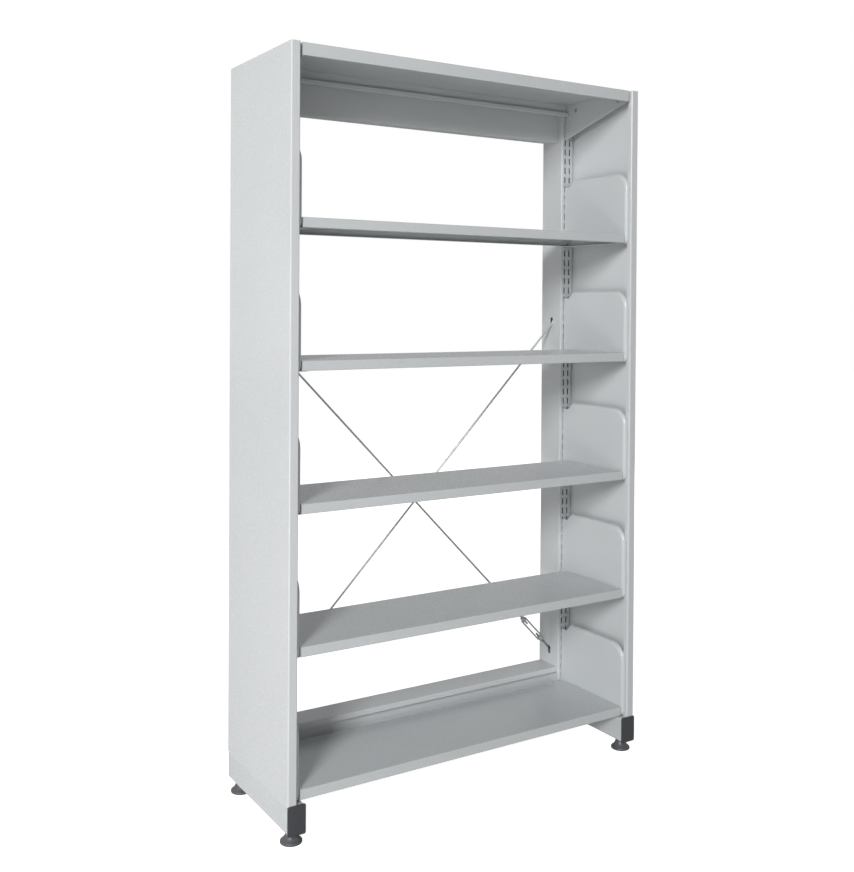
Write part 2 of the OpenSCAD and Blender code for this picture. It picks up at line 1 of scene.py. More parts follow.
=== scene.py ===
"""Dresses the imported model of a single-sided library shelving bay.

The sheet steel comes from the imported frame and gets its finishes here. Small parts
whose edges and details show are modelled here and replace their nodes: foot pads and
studs, leg caps, brace rods, turnbuckles and canopy screws.
"""

import json
import logging
import math
from collections.abc import Callable, Sequence
from dataclasses import dataclass, field
from enum import Enum

import bpy
from mathutils import Matrix, Vector


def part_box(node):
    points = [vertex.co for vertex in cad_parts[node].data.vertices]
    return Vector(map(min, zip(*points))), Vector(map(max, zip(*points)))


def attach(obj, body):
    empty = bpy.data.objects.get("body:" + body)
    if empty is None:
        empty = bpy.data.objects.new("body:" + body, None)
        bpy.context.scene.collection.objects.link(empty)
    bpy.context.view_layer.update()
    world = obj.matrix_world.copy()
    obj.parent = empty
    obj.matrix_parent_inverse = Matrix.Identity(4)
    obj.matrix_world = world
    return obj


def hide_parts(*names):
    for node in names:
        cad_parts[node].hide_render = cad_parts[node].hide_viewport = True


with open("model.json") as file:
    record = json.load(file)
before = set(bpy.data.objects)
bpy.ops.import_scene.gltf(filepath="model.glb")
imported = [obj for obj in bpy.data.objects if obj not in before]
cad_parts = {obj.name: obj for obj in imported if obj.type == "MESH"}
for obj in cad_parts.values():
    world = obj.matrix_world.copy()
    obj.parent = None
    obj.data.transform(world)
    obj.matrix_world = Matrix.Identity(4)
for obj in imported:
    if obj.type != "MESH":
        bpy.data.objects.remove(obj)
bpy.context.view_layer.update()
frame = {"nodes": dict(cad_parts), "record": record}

log = logging.getLogger("shelving")

MM = 0.001
WHITE = (1.0, 1.0, 1.0, 1.0)

# The sRGB curve: where its straight part ends, that part's slope, and the power part.
SRGB_KNEE = 0.04045
SRGB_SLOPE = 12.92
SRGB_OFFSET = 0.055
SRGB_POWER = 2.4

# Points round a wide pad, round a stud, screw or boss, and round a rod or bore.
WIDE_ROUND = 64
SMALL_ROUND = 32
ROD_ROUND = 20

# The largest angles that are shaded smooth, on plain pieces and on threaded ones.
SMOOTH = 40.0
THREAD_SMOOTH = 50.0

# A rolled thread's depth and where its crest begins and ends, all in pitches.
THREAD_DEPTH = 0.55
CREST = (0.42, 0.58)

# How far a chosen face's normal, or its place, may lie off what is asked for.
FACING = 0.1
TINY = 0.001 * MM


def linear(hex_colour: str) -> tuple[float, float, float, float]:
    """Turns an sRGB hex colour into the linear colour that a socket takes.

    Args:
        hex_colour: Six hex digits after a hash sign.

    Returns:
        Red, green, blue and an alpha of 1.
    """
    parts = [int(hex_colour[i : i + 2], 16) / 255 for i in (1, 3, 5)]
    red, green, blue = [
        p / SRGB_SLOPE
        if p <= SRGB_KNEE
        else ((p + SRGB_OFFSET) / (1 + SRGB_OFFSET)) ** SRGB_POWER
        for p in parts
    ]
    return (red, green, blue, 1.0)


def add_node(
    tree: bpy.types.NodeTree, kind: str, inputs: dict[str | int, object], **settings: object
) -> bpy.types.Node:
    """Adds a shader node with its settings, values and links.

    Args:
        tree: The node tree that gets the node.
        kind: The node's type name.
        inputs: A value, or an output socket to link, for each named input.
        **settings: Properties of the node itself.

    Returns:
        The new node.
    """
    node = tree.nodes.new(kind)
    for name, value in settings.items():
        setattr(node, name, value)
    for name, value in inputs.items():
        if isinstance(value, bpy.types.NodeSocket):
            tree.links.new(value, node.inputs[name])
        else:
            node.inputs[name].default_value = value
    return node


def noise(tree: bpy.types.NodeTree, size_mm: float, detail: float) -> bpy.types.NodeSocket:
    """Adds a noise that stays with the object and keeps its real size.

    Args:
        tree: The material's tree.
        size_mm: Size of the noise's patches in millimetres.
        detail: How many finer layers it has.

    Returns:
        The noise's value.
    """
    where = add_node(tree, "ShaderNodeTexCoord", {}).outputs["Object"]
    inputs = {"Vector": where, "Scale": 1 / (size_mm * MM), "Detail": detail}
    return add_node(tree, "ShaderNodeTexNoise", inputs).outputs[0]


def spread(
    tree: bpy.types.NodeTree, value: bpy.types.NodeSocket, low: float, high: float
) -> bpy.types.NodeSocket:
    """Lets a texture vary a measure between two values.

    Args:
        tree: The material's tree.
        value: The texture's value.
        low: The measure where the texture is 0.
        high: The measure where it is 1.

    Returns:
        The measure.
    """
    inputs = {"Value": value, "To Min": low, "To Max": high}
    return add_node(tree, "ShaderNodeMapRange", inputs).outputs[0]


def relief(
    tree: bpy.types.NodeTree, value: bpy.types.NodeSocket, strength: float, depth_mm: float
) -> bpy.types.NodeSocket:
    """Lets a texture tilt the surface.

    Args:
        tree: The material's tree.
        value: The texture's value.
        strength: How much of the tilt shows.
        depth_mm: The texture's depth in millimetres.

    Returns:
        The tilted normal.
    """
    inputs = {"Height": value, "Strength": strength, "Distance": depth_mm * MM}
    return add_node(tree, "ShaderNodeBump", inputs).outputs[0]


def combine(
    tree: bpy.types.NodeTree, operation: str, first: object, second: object
) -> bpy.types.NodeSocket:
    """Adds a node that combines two numbers.

    Args:
        tree: The tree that gets it.
        operation: MULTIPLY or MAXIMUM.
        first: A number or a socket.
        second: A number or a socket.

    Returns:
        The result.
    """
    inputs = {0: first, 1: second}
    return add_node(tree, "ShaderNodeMath", inputs, operation=operation).outputs[0]


def empty_material(name: str) -> tuple[bpy.types.Material, bpy.types.NodeTree]:
    """Makes a material with an empty node tree.

    Args:
        name: The material's name.

    Returns:
        The material and its tree.
    """
    material = bpy.data.materials.new(name)
    material.use_nodes = True
    material.node_tree.nodes.clear()
    return material, material.node_tree


@dataclass(frozen=True)
class Finish:
    """What every finish shares: a name and two colours, mixed by a texture.

    Attributes:
        name: The material's name.
        first: The colour where the texture is low.
        second: The colour where the texture is high.
    """

    name: str
    first: str
    second: str

    def tone(
        self, tree: bpy.types.NodeTree, share: bpy.types.NodeSocket
    ) -> bpy.types.NodeSocket:
        """Mixes the finish's two colours.

        Args:
            tree: The material's tree.
            share: How much of the second colour shows.

        Returns:
            The colour.
        """
        # The colour sockets share their names with others, so they go by number.
        inputs = {0: share, 6: linear(self.first), 7: linear(self.second)}
        return add_node(tree, "ShaderNodeMix", inputs, data_type="RGBA").outputs[2]

    def surface(self, tree: bpy.types.NodeTree) -> dict[str, object]:
        """Makes the inputs of the finish's shader.

        Args:
            tree: The material's tree.

        Returns:
            A value or a socket for each named input.
        """
        raise NotImplementedError

    def build(self) -> bpy.types.Material:
        """Builds the material.

        Returns:
            The material.
        """
        material, tree = empty_material(self.name)
        shader = add_node(tree, "ShaderNodeBsdfPrincipled", self.surface(tree))
        add_node(tree, "ShaderNodeOutputMaterial", {"Surface": shader.outputs[0]})
        return material


@dataclass(frozen=True)
class PowderCoat(Finish):
    """Polyester powder coat, sprayed and baked on steel sheet.

    It has an even satin gloss over a fine orange-peel ripple, and a faint drift in
    tone where the film is thinner (the first colour) or thicker (the second).

    Attributes:
        ripple_mm: Spacing of the orange peel; real ripple of about 1 mm is drawn coarser.
        drift_mm: Size of the patches of drifting tone.
        roughness: The least and the greatest roughness.
        bump: How much of the ripple's tilt shows.
        depth_mm: The ripple's depth.
        ior: The resin's index of refraction.
    """

    ripple_mm: float = 2.2
    drift_mm: float = 180.0
    roughness: tuple[float, float] = (0.20, 0.32)
    bump: float = 0.07
    depth_mm: float = 0.06
    ior: float = 1.5

    def surface(self, tree: bpy.types.NodeTree) -> dict[str, object]:
        """Makes the inputs of the coat's shader.

        Args:
            tree: The material's tree.

        Returns:
            A value or a socket for each named input.
        """
        drift = noise(tree, self.drift_mm, detail=3.0)
        ripple = noise(tree, self.ripple_mm, detail=2.0)
        return {
            "Base Color": self.tone(tree, drift),
            "Roughness": spread(tree, ripple, *self.roughness),
            "Normal": relief(tree, ripple, self.bump, self.depth_mm),
            "IOR": self.ior,
        }


@dataclass(frozen=True)
class MouldedPlastic(Finish):
    """Polypropylene, injection moulded in a spark-eroded tool.

    The tool leaves an even matt grain, and the grain's tops (the second colour) catch
    a little light.

    Attributes:
        grain_mm: Spacing of the moulded grain, drawn a little coarse to show.
        roughness: Its gloss; a plain turned part of the tool gives a smoother face.
        bump: How much of the grain's tilt shows.
        depth_mm: The grain's depth.
        ior: The plastic's index of refraction.
    """

    grain_mm: float = 0.9
    roughness: float = 0.4
    bump: float = 0.3
    depth_mm: float = 0.08
    ior: float = 1.49

    def surface(self, tree: bpy.types.NodeTree) -> dict[str, object]:
        """Makes the inputs of the plastic's shader.

        Args:
            tree: The material's tree.

        Returns:
            A value or a socket for each named input.
        """
        grain = noise(tree, self.grain_mm, detail=4.0)
        return {
            "Base Color": self.tone(tree, grain),
            "Roughness": self.roughness,
            "Normal": relief(tree, grain, self.bump, self.depth_mm),
            "IOR": self.ior,
        }


@dataclass(frozen=True)
class PlatedSteel(Finish):
    """Drawn or pressed steel with an electroplated coat.

    The crystals of the plate give a soft, slightly mottled metal, whose duller spots
    have the second colour.

    Attributes:
        spot_mm: Size of the mottling.
        roughness: The least and the greatest roughness.
    """

    spot_mm: float = 3.0
    roughness: tuple[float, float] = (0.28, 0.48)

    def surface(self, tree: bpy.types.NodeTree) -> dict[str, object]:
        """Makes the inputs of the metal's shader.

        Args:
            tree: The material's tree.

        Returns:
            A value or a socket for each named input.
        """
        spots = noise(tree, self.spot_mm, detail=5.0)
        return {
            "Base Color": self.tone(tree, spots),
            "Metallic": 1.0,
            "Roughness": spread(tree, spots, *self.roughness),
        }


@dataclass
class Finishes:
    """The bay's finishes, one for each material slot of the record, and two variants.

    Attributes:
        by_slot: The material of each slot.
        shaded_rod_end: The coat of the rods' lower ends, darkened with painted shade.
        pad: The plastic of the foot pads.
    """

    by_slot: dict[str, bpy.types.Material] = field(init=False)
    shaded_rod_end: bpy.types.Material = field(init=False)
    pad: bpy.types.Material = field(init=False)

    def __post_init__(self) -> None:
        """Builds every material."""
        finishes = {
            "panel_paint": PowderCoat("powder_coat_panels", "#CDD0D2", "#D3D6D8"),
            "frame_paint": PowderCoat("powder_coat_posts", "#CBCED0", "#D1D4D6"),
            "shelf_paint": PowderCoat("powder_coat_shelves", "#C8CCCE", "#CED2D4"),
            "black_plastic": MouldedPlastic("moulded_black_plastic", "#3C3E42", "#4A4C50"),
            "zinc_steel": PlatedSteel("bright_zinc_plate", "#D6D9D9", "#BCBFBF"),
            "rod_steel": PlatedSteel(
                "dull_zinc_plate", "#DEE0E0", "#CCD0D0", roughness=(0.47, 0.67)
            ),
            "brass_plate": PlatedSteel("yellow_zinc_plate", "#D6CCAE", "#B8AB88"),
        }
        self.by_slot = {slot: finish.build() for slot, finish in finishes.items()}
        # The lower ends' coat is darker as painted shade: it stands in for the shade on the
        # hooks inside the posts.
        self.shaded_rod_end = PlatedSteel("shade_darkened_zinc_plate", "#A9AEAC", "#8F9593").build()
        # A smoother grade than the caps': a broad highlight shows the domed shoulder.
        self.pad = MouldedPlastic(
            "moulded_pad_plastic", "#505256", "#5E6064", grain_mm=1.4, roughness=0.38
        ).build()

    def dress(self) -> None:
        """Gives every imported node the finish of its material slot."""
        for part in frame["record"]["subparts"]:
            node = frame["nodes"][part["node"]]
            node.data.materials.clear()
            node.data.materials.append(self.by_slot[part["material_slot"]])


def deselect() -> None:
    """Clears the selection, so that the next operator acts on new work only."""
    if bpy.context.object and bpy.context.object.mode != "OBJECT":
        bpy.ops.object.mode_set(mode="OBJECT")
    bpy.ops.object.select_all(action="DESELECT")


def take(piece: bpy.types.Object) -> None:
    """Makes a piece the only selected and the active object.

    Args:
        piece: The object to work on.
    """
    deselect()
    piece.select_set(True)
    bpy.context.view_layer.objects.active = piece


def choose(piece: bpy.types.Object, kind: str, test: Callable[[object], bool]) -> None:
    """Opens a piece in edit mode with some of its faces or edges selected.

    Args:
        piece: The object to edit.
        kind: FACE or EDGE.
        test: Tells whether a face or edge is wanted.
    """
    take(piece)
    bpy.ops.object.mode_set(mode="EDIT")
    bpy.ops.mesh.select_mode(type=kind)
    bpy.ops.mesh.select_all(action="DESELECT")
    bpy.ops.object.mode_set(mode="OBJECT")
    for part in piece.data.polygons if kind == "FACE" else piece.data.edges:
        part.select = test(part)
    bpy.ops.object.mode_set(mode="EDIT")


def choose_faces(
    piece: bpy.types.Object, test: Callable[[bpy.types.MeshPolygon], bool]
) -> None:
    """Opens a piece in edit mode with some of its faces selected.

    Args:
        piece: The object to edit.
        test: Tells whether a face is wanted.
    """
    choose(piece, "FACE", test)


def choose_edges(piece: bpy.types.Object, test: Callable[[Vector, Vector], bool]) -> None:
    """Opens a piece in edit mode with some of its edges selected.

    Args:
        piece: The object to edit.
        test: Tells from its two ends whether an edge is wanted.
    """

    def by_ends(edge: bpy.types.MeshEdge) -> bool:
        """Tests an edge by its ends.

        Args:
            edge: The edge.

        Returns:
            Whether it is wanted.
        """
        points = piece.data.vertices
        return test(points[edge.vertices[0]].co, points[edge.vertices[1]].co)

    choose(piece, "EDGE", by_ends)


def close_mesh(piece: bpy.types.Object, angle: float = SMOOTH) -> None:
    """Turns all faces outwards and shades the piece smooth up to an angle.

    Args:
        piece: The finished object.
        angle: The largest smooth angle in degrees.
    """
    take(piece)
    bpy.ops.object.mode_set(mode="EDIT")
    bpy.ops.mesh.select_all(action="SELECT")
    bpy.ops.mesh.normals_make_consistent(inside=False)
    bpy.ops.object.mode_set(mode="OBJECT")
    bpy.ops.object.shade_smooth_by_angle(angle=math.radians(angle))


def extrude(way: Vector) -> None:
    """Draws the chosen faces out of the piece that is open in edit mode.

    Args:
        way: How far and where they go.
    """
    bpy.ops.mesh.extrude_region_move(TRANSFORM_OT_translate={"value": way})


def lathe(
    name: str, rings: list[tuple[float, float]], sides: int = WIDE_ROUND
) -> bpy.types.Object:
    """Raises a round solid from a disc, ring by ring.

    Args:
        name: The object's name.
        rings: Radius and height of each ring in metres, from the lowest.
        sides: Points on each ring.

    Returns:
        The solid, standing on the z axis.
    """
    deselect()
    radius, height = rings[0]
    bpy.ops.mesh.primitive_circle_add(vertices=sides, radius=radius, fill_type="NGON")
    piece = bpy.context.object
    piece.name = name
    bpy.ops.object.mode_set(mode="EDIT")
    bpy.ops.mesh.select_all(action="SELECT")
    bpy.ops.transform.translate(value=(0, 0, height))
    for (r0, z0), (r1, z1) in zip(rings, rings[1:]):
        extrude(Vector((0, 0, z1 - z0)))
        bpy.ops.transform.resize(value=(r1 / r0, r1 / r0, 1), center_override=(0, 0, z1))
    bpy.ops.object.mode_set(mode="OBJECT")
    return piece


def block(
    name: str, size: Sequence[float], centre: Sequence[float] = (0.0, 0.0, 0.0)
) -> bpy.types.Object:
    """Adds a box.

    Args:
        name: The object's name.
        size: Its three sides.
        centre: Its middle.

    Returns:
        The box, with its sizes applied.
    """
    deselect()
    bpy.ops.mesh.primitive_cube_add(size=1, location=centre)
    piece = bpy.context.object
    piece.name = name
    piece.scale = size
    bpy.ops.object.transform_apply(location=True, rotation=True, scale=True)
    return piece


def place(piece: bpy.types.Object, pose: Matrix) -> bpy.types.Object:
    """Puts a piece in its place and applies the move to its mesh.

    Args:
        piece: The object to move.
        pose: Its place in the bay.

    Returns:
        The same piece.
    """
    take(piece)
    piece.matrix_world = pose
    bpy.ops.object.transform_apply(location=True, rotation=True, scale=True)
    return piece


def twin(piece: bpy.types.Object, name: str) -> bpy.types.Object:
    """Copies a piece with a mesh of its own.

    Args:
        piece: The model.
        name: The copy's name.

    Returns:
        The copy.
    """
    copy = piece.copy()
    copy.data = piece.data.copy()
    copy.name = name
    bpy.context.scene.collection.objects.link(copy)
    return copy


def join(pieces: list[bpy.types.Object]) -> bpy.types.Object:
    """Joins pieces into the first of them.

    Args:
        pieces: The objects to join.

    Returns:
        The joined object.
    """
    take(pieces[0])
    for piece in pieces:
        piece.select_set(True)
    bpy.ops.object.join()
    return pieces[0]


def carve(piece: bpy.types.Object, tool: bpy.types.Object) -> None:
    """Cuts one solid out of another and removes the cutter.

    Args:
        piece: The solid that stays.
        tool: The solid that is cut out of it.
    """
    take(piece)
    cut = piece.modifiers.new("cut", "BOOLEAN")
    cut.operation = "DIFFERENCE"
    cut.solver = "EXACT"
    cut.object = tool
    bpy.ops.object.modifier_apply(modifier=cut.name)
    bpy.data.objects.remove(tool)


def axes(forward: Vector, side: Vector, at: Vector) -> Matrix:
    """Makes the pose of a piece from its z direction and its x direction.

    Args:
        forward: Where the piece's z axis points.
        side: About where its x axis points.
        at: Where its origin goes.

    Returns:
        The pose.
    """
    z = forward.normalized()
    x = (side - z * side.dot(z)).normalized()
    y = z.cross(x)
    return Matrix.Translation(at) @ Matrix((x, y, z)).transposed().to_4x4()


def thread(
    start: float, end: float, diameter: float, pitch: float
) -> list[tuple[float, float]]:
    """Lists the rings of a rolled thread, ready for the lathe.

    Args:
        start: Height of the first ring.
        end: Height above which no ring lies.
        diameter: The thread's outer diameter.
        pitch: Distance between crests.

    Returns:
        Radius and height of each ring.
    """
    crest = diameter / 2
    root = crest - THREAD_DEPTH * pitch
    rings = [(root, start)]
    for turn in range(int((end - start) / pitch)):
        z = start + turn * pitch
        rings += [(crest, z + share * pitch) for share in CREST]
        rings.append((root, z + pitch))
    return rings


@dataclass
class Piece:
    """What each modelled piece shares: its finishes and its way into the frame.

    Attributes:
        finishes: The bay's materials.
    """

    finishes: Finishes

    def hand_over(
        self,
        piece: bpy.types.Object,
        body: str,
        slot: str,
        nodes: list[str],
        finish: bpy.types.Material | None = None,
    ) -> None:
        """Gives a piece its finish, its body and the nodes that it stands for.

        Args:
            piece: The finished object.
            body: The body that it moves with.
            slot: Its material slot.
            nodes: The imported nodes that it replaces.
            finish: Its material, where it differs from the slot's own.
        """
        piece.data.materials.clear()
        piece.data.materials.append(finish or self.finishes.by_slot[slot])
        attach(piece, body)
        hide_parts(*nodes)
        log.info("%s: %d faces", piece.name, len(piece.data.polygons))

    def build(self) -> None:
        """Builds the piece and hands it over."""
        raise NotImplementedError


class Corner(Enum):
    """The four corners of the bay, as the record names them."""

    FRONT_LEFT = "front_left"
    FRONT_RIGHT = "front_right"
    REAR_LEFT = "rear_left"
    REAR_RIGHT = "rear_right"

    @property
    def is_front(self) -> bool:
        """Whether the corner is at the open front."""
        return self.value.startswith("front")


@dataclass
class LevellingFoot(Piece):
    """A moulded pad with sloping shoulders on a threaded stud.

    Attributes:
        rim: Height of the pad's straight rim.
        edge: Rounding of the rim's lower edge.
        shoulder: Rounding between the rim and the shoulders.
        lean: How far the shoulders lean over where they start, in degrees.
        neck: Radius of the neck below the leg.
        fillet: Radius and height of the point that the shoulders' hollow is drawn to.
        collar: Height of the straight neck.
        chamfer: Size of the bevel on the neck's upper edge.
        arc_steps: Steps in each rounding.
        hollow_steps: Steps in the shoulders' hollow.
        pitch: The stud's thread pitch.
    """

    rim: float = 3.2 * MM
    edge: float = 1.6 * MM
    shoulder: float = 3.6 * MM
    lean: float = 60.0
    neck: float = 12.0 * MM
    fillet: tuple[float, float] = (14.5 * MM, 11.5 * MM)
    collar: float = 5.0 * MM
    chamfer: float = 0.4 * MM
    arc_steps: int = 5
    hollow_steps: int = 12
    pitch: float = 1.5 * MM

    def pad_rings(self, radius: float, height: float) -> list[tuple[float, float]]:
        """Lists the pad's rings from the floor to the neck.

        Args:
            radius: The pad's radius.
            height: The pad's height.

        Returns:
            Radius and height of each ring.
        """
        rings = []
        for bend, middle, first, last in (
            (self.edge, self.edge, -90.0, 0.0),
            (self.shoulder, self.rim, 0.0, self.lean),
        ):
            for step in range(self.arc_steps + 1):
                angle = math.radians(first + (last - first) * step / self.arc_steps)
                ring = (radius - bend * (1 - math.cos(angle)), middle + bend * math.sin(angle))
                rings.append(ring)
        # A quadratic curve that is drawn to the fillet point makes the hollow.
        start, end = Vector(rings[-1]), Vector((self.neck, height - self.collar))
        for step in range(1, self.hollow_steps + 1):
            t = step / self.hollow_steps
            point = start * (1 - t) ** 2 + Vector(self.fillet) * 2 * t * (1 - t) + end * t**2
            rings.append((point.x, point.y))
        rings.append((self.neck, height - self.chamfer))
        rings.append((self.neck - self.chamfer, height))
        return rings

    def build(self) -> None:
        """Builds the four feet from two models."""
        low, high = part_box(f"foot_pad_{Corner.FRONT_LEFT.value}")
        pad = lathe("foot_pad_model", self.pad_rings((high.x - low.x) / 2, high.z))
        close_mesh(pad)
        low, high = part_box(f"foot_stud_{Corner.FRONT_LEFT.value}")
        rings = thread(low.z, high.z, high.x - low.x, self.pitch)
        stud = lathe("foot_stud_model", rings, SMALL_ROUND)
        close_mesh(stud, THREAD_SMOOTH)
        for corner in Corner:
            low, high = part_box(f"foot_pad_{corner.value}")
            at = Matrix.Translation(((low.x + high.x) / 2, (low.y + high.y) / 2, 0))
            for model, kind, slot, finish in (
                (pad, "foot_pad", "black_plastic", self.finishes.pad),
                (stud, "foot_stud", "zinc_steel", None),
            ):
                name = f"{kind}_{corner.value}"
                copy = place(twin(model, f"{name}_dressed"), at)
                self.hand_over(copy, name, slot, [name], finish)
        for model in (pad, stud):
            bpy.data.objects.remove(model)


@dataclass
class LegCap(Piece):
    """A moulded end cap with rounded corners, a soft front edge and a hollow plug.

    Attributes:
        face: Thickness of the cap's face.
        corner: Radius of its corners.
        corner_steps: Steps in each corner.
        edge: Rounding of its front edge.
        edge_steps: Steps in that rounding.
        wall: How far the plug stands inside the face's edge.
        skin: The plug's own wall thickness.
    """

    face: float = 3.0 * MM
    corner: float = 4.0 * MM
    corner_steps: int = 6
    edge: float = 0.9 * MM
    edge_steps: int = 4
    wall: float = 3.4 * MM
    skin: float = 2.0 * MM

    def build(self) -> None:
        """Builds the four caps, each to its node's size."""
        for corner in Corner:
            name = f"leg_cap_{corner.value}"
            low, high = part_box(name)
            way = -1 if corner.is_front else 1
            outer = low.y if corner.is_front else high.y
            size = (high.x - low.x, self.face, high.z - low.z)
            middle = (low + high) / 2
            middle.y = outer - way * self.face / 2
            cap = block(f"{name}_dressed", size, middle)
            choose_edges(cap, lambda a, b: abs(a.y - b.y) > self.face / 2)
            bpy.ops.mesh.bevel(offset=self.corner, segments=self.corner_steps)
            choose_faces(cap, lambda f: abs(f.normal.y - way) < FACING)
            bpy.ops.mesh.region_to_loop()
            bpy.ops.mesh.bevel(offset=self.edge, segments=self.edge_steps)
            # The back grows into a plug, and the plug's end sinks into a hollow.
            choose_faces(cap, lambda f: abs(f.normal.y + way) < FACING)
            depth = high.y - low.y - self.face
            bpy.ops.mesh.inset(thickness=self.wall)
            extrude(Vector((0, -way * depth, 0)))
            bpy.ops.mesh.inset(thickness=self.skin)
            extrude(Vector((0, way * (depth - self.skin), 0)))
            close_mesh(cap)
            self.hand_over(cap, "frame", "black_plastic", [name])


class Brace(Enum):
    """The two braces: their letter in the record and the side of their lower end."""

    A = ("a", 1)
    B = ("b", -1)


@dataclass
class BraceRod(Piece):
    """A drawn rod in two halves, bent into its post slots and joined by a turnbuckle.

    Attributes:
        diameter: The rod's diameter.
        pitch: Pitch of the threads in the turnbuckle.
        thread_out: Length of thread that shows outside the turnbuckle.
        buckle_at: Distance from the lower slot to the turnbuckle's middle.
        buckle: The turnbuckle's length, width and thickness.
        nearer: How far its middle lies below the hinge point, towards the lower slot.
        bar: Width of the turnbuckle's bars.
        bar_edge: Rounding of the bars' edges.
        bar_steps: Steps in that rounding.
        boss: Length of its threaded ends.
        boss_in: How far the ends' sides lie inside the bars' outer sides.
        boss_nose: How far in and how high each ring of an end's inner nose lies.
        boss_tip: How far in and how far down the bevel at its outer end goes.
        stub: Length of rod inside the turnbuckle.
        inside: How deep a rod's bend lies behind the post's inner side.
        bend: Radius of the bend.
        bend_steps: Steps in the bend.
        tail: Length from the bend's corner to the rod's end.
    """

    diameter: float = 5.0 * MM
    pitch: float = 0.8 * MM
    thread_out: float = 12.0 * MM
    buckle_at: float = 89.0 * MM
    buckle: tuple[float, float, float] = (98.0 * MM, 17.6 * MM, 6.0 * MM)
    nearer: float = 4.0 * MM
    bar: float = 3.6 * MM
    bar_edge: float = 1.1 * MM
    bar_steps: int = 3
    boss: float = 14.0 * MM
    boss_in: float = 2.6 * MM
    boss_nose: tuple[tuple[float, float], ...] = (
        (2.2 * MM, 0.0),
        (0.6 * MM, 1.2 * MM),
        (0.0, 2.6 * MM),
    )
    boss_tip: tuple[float, float] = (0.8 * MM, 1.0 * MM)
    stub: float = 27.0 * MM
    inside: float = 8.5 * MM
    bend: float = 46.0 * MM
    bend_steps: int = 14
    tail: float = 26.0 * MM

    def half(self, name: str, length: float, tilt: float) -> bpy.types.Object:
        """Builds half a rod: a threaded end at the origin and a bend towards +x.

        Args:
            name: The object's name.
            length: Distance from the threaded end to the bend's corner.
            tilt: The rod's angle above the level.

        Returns:
            The half rod along +z.
        """
        turn = math.pi / 2 - tilt
        tangent = self.bend * math.tan(turn / 2)
        straight = length - tangent
        radius = self.diameter / 2
        rings = thread(0, self.stub + self.thread_out, self.diameter, self.pitch)
        rings += [(radius, rings[-1][1] + self.pitch / 2), (radius, straight)]
        rod = lathe(name, rings, ROD_ROUND)
        choose_faces(rod, lambda f: f.center.z > straight - TINY)
        # The operator turns against the right-hand rule, so the angle is negative.
        bpy.ops.mesh.spin(
            steps=self.bend_steps,
            angle=-turn,
            center=(self.bend, 0, straight),
            axis=(0, 1, 0),
        )
        extrude(Vector((math.sin(turn), 0, math.cos(turn))) * (self.tail - tangent))
        close_mesh(rod, THREAD_SMOOTH)
        return rod

    def threaded_end(self, name: str) -> bpy.types.Object:
        """Builds one bored end of the turnbuckle, its nose on z = 0.

        Args:
            name: The turnbuckle's name.

        Returns:
            The end.
        """
        radius = self.buckle[1] / 2 - self.boss_in
        tip_in, tip_down = self.boss_tip
        rings = [(radius - inset, z) for inset, z in self.boss_nose]
        rings += [(radius, self.boss - tip_down), (radius - tip_in, self.boss)]
        end = lathe(f"{name}_end", rings, SMALL_ROUND)
        hole = self.diameter / 2
        bore = lathe(f"{name}_bore", [(hole, -MM), (hole, 2 * self.boss)], ROD_ROUND)
        carve(end, bore)
        return end

    def forging(self, name: str) -> bpy.types.Object:
        """Builds the turnbuckle: two bars between two round threaded ends, along z.

        Args:
            name: The object's name.

        Returns:
            The turnbuckle about the origin.
        """
        length, width, thick = self.buckle
        body = block(name, (width, thick, length - self.boss))
        # The two broad sides, inset and bridged, open the frame between the bars.
        choose_faces(body, lambda f: abs(f.normal.y) > 1 - FACING)
        bpy.ops.mesh.inset(thickness=self.bar, use_even_offset=True)
        bpy.ops.mesh.bridge_edge_loops()
        choose_edges(body, lambda a, b: True)
        bpy.ops.mesh.bevel(offset=self.bar_edge, segments=self.bar_steps, clamp_overlap=True)
        ends = []
        for way in (-1, 1):
            up = Vector((0, 0, way))
            pose = axes(up, Vector((1, 0, 0)), up * (length / 2 - self.boss))
            ends.append(place(self.threaded_end(name), pose))
        body = join([body, *ends])
        close_mesh(body, THREAD_SMOOTH)
        return body

    def build(self) -> None:
        """Builds both braces from their hinge lines in the record."""
        joints = {j["name"]: j for j in frame["record"]["behaviour"]["joints"]}
        for brace in Brace:
            letter, side = brace.value
            joint = joints[f"turnbuckle_{letter}_spin"]
            centre, up = Vector(joint["pos_m"]), Vector(joint["axis"])
            tilt = math.asin(up.z)
            slot = centre - up * self.buckle_at
            # The slots mirror each other about x = 0, so the lower one gives the span.
            far = 2 * abs(slot.x) / math.cos(tilt)
            centre = centre - up * self.nearer
            near = self.buckle_at - self.nearer
            past = self.inside / math.cos(tilt)
            inner = self.buckle[0] / 2 - self.stub
            # The lower halves take a darker coat, painted shade for their hooks in the shaded
            # posts.
            for end, way, reach, finish in (
                ("lower", -up, near, self.finishes.shaded_rod_end),
                ("upper", up, far - near, None),
            ):
                name = f"brace_rod_{letter}_{end}"
                rod = self.half(f"{name}_dressed", reach - inner + past, tilt)
                place(rod, axes(way, Vector((0, 0, way.z)), centre + way * inner))
                self.hand_over(rod, "frame", "rod_steel", [name], finish)
            name = f"turnbuckle_{letter}"
            buckle = self.forging(f"{name}_dressed")
            place(buckle, axes(up, Vector((side * up.z, 0, abs(up.x))), centre))
            self.hand_over(buckle, name, "zinc_steel", [name])


